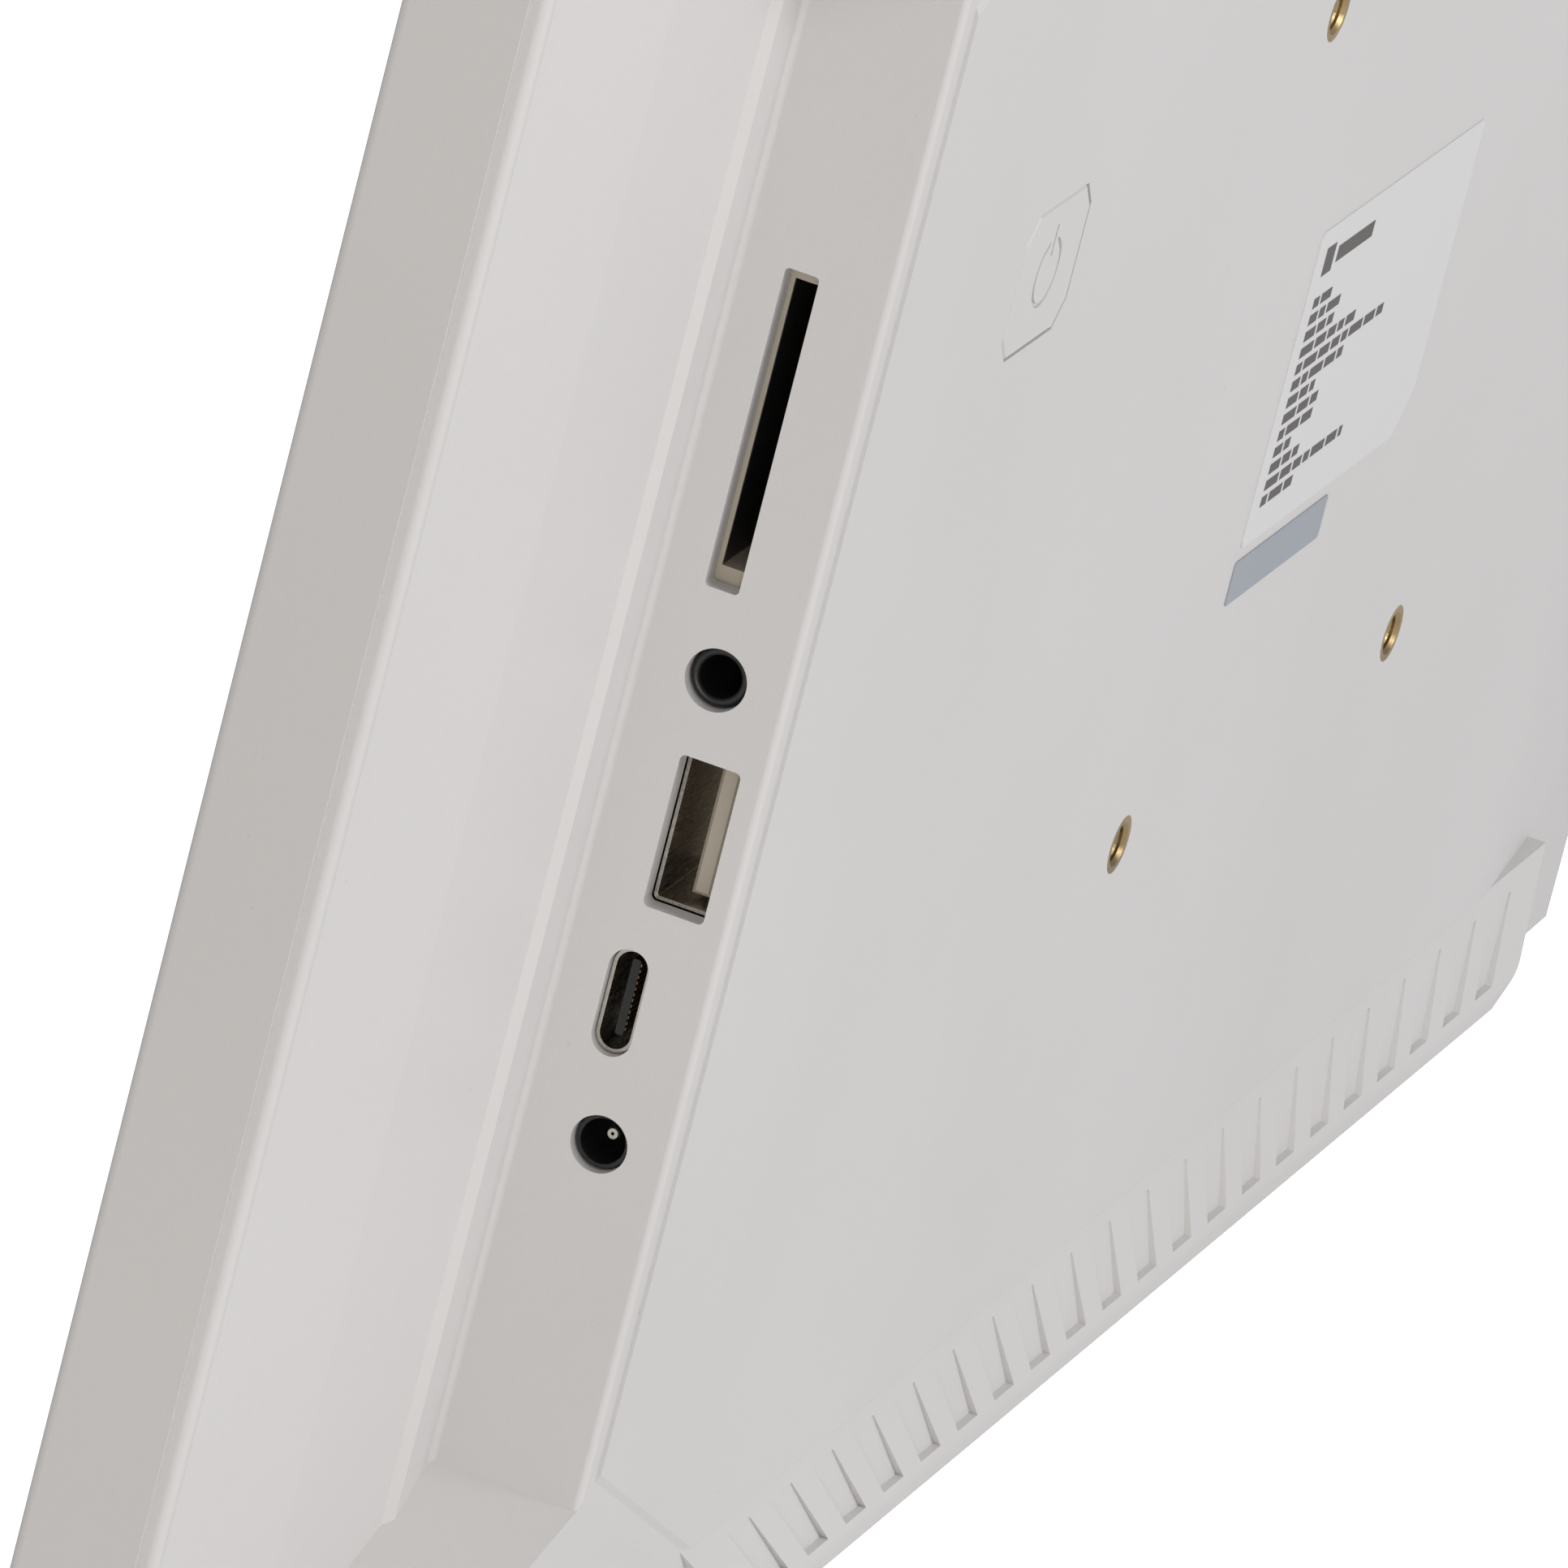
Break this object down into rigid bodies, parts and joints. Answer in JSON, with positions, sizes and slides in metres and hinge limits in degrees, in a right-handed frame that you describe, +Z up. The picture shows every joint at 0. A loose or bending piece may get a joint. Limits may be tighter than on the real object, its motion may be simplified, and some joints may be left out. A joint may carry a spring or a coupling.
{
  "type": "digital photo frame",
  "caption": "Wide white digital photo frame with a flat raised back, a ribbed foot ridge, a threaded wall-mount pattern and a recessed side bay of sockets.",
  "frame": {"origin": "centre of the four threaded inserts, on the flat raised back of the rear cover", "axes": "+Z up with the frame hung wide, +Y out of the back, +X towards the side with the sockets; the picture faces -Y"},
  "size_m": [0.39, 0.0352, 0.24],
  "materials": {
    "black_print": "black ink",
    "board_green": "solder mask",
    "button_plastic": "smooth satin",
    "can_aluminium": "bare",
    "chip_black": "moulded epoxy",
    "contact_gold": "gold-plated",
    "copper_black": "black jacket",
    "foam": "closed-cell foam",
    "front_glass": "polished",
    "insert_brass": "knurled brass",
    "label_film": "silver-grey label film",
    "lcd_glass": "dark polarised",
    "milky_plastic": "clear acrylic and films",
    "ribbon": "flat flexible cable",
    "screw_steel": "nickel-plated",
    "shell_steel": "nickel-plated sheet",
    "socket_black": "glass-filled nylon",
    "socket_ivory": "glass-filled nylon, ivory",
    "tray_steel": "zinc-plated sheet",
    "white_plastic": "fine satin moulded"
  },
  "bodies": {
    "frame_body": {"antenna": "contact_gold", "antenna_lead": "copper_black", "audio_jack": "socket_black", "board_screws": "screw_steel", "border_mask": "black_print", "bracket_screws": "screw_steel", "capacitors": "can_aluminium", "cover_glass": "front_glass", "dc_jack": "socket_black", "dc_pin": "contact_gold", "display_cable": "ribbon", "display_socket": "socket_black", "foam_gasket": "foam", "front_frame": "white_plastic", "heat_spreader": "can_aluminium", "lcd_brackets": "tray_steel", "lcd_cell": "lcd_glass", "lcd_tray": "tray_steel", "lead_sockets": "socket_black", "led_bar": "milky_plastic", "light_guide": "milky_plastic", "main_board": "board_green", "memory_chips": "chip_black", "mould_frame": "socket_black", "optical_films": "milky_plastic", "power_coils": "chip_black", "processor": "chip_black", "rating_label": "label_film", "rear_cover": "white_plastic", "reflector_sheet": "milky_plastic", "sd_socket_base": "socket_ivory", "sd_socket_shell": "shell_steel", "serial_label": "label_film", "speaker_box_left": "socket_black", "speaker_box_right": "socket_black", "speaker_cone_left": "foam", "speaker_cone_right": "foam", "speaker_lead_left": "copper_black", "speaker_lead_right": "copper_black", "speaker_screws": "screw_steel", "switch_body": "chip_black", "timing_board": "board_green", "usb_a_shell": "shell_steel", "usb_a_tongue": "socket_ivory", "usb_c_shell": "shell_steel", "usb_c_tongue": "socket_black", "vesa_inserts": "insert_brass", "wifi_module": "shell_steel"},
    "button": {"power_button": "button_plastic"},
    "plunger": {"switch_plunger": "chip_black"},
    "card_slider": {"sd_slider": "socket_black"}
  },
  "joints": [
    {"name": "power_button_press", "type": "slide", "parent": "frame_body", "child": "button", "axis": [0, -1, 0], "range_m": [0, 0.0003], "stiffness_N_per_m": 800, "springref_m": -0.0005},
    {"name": "switch_plunger_press", "type": "slide", "parent": "frame_body", "child": "plunger", "axis": [0, -1, 0], "range_m": [0, 0.0003]},
    {"name": "card_slider_push", "type": "slide", "parent": "frame_body", "child": "card_slider", "axis": [-1, 0, 0], "range_m": [0, 0.0039], "stiffness_N_per_m": 250, "springref_m": -0.004}
  ],
  "couplings": [
    {"joint": "switch_plunger_press", "follows": "power_button_press", "ratio": 1}
  ]
}
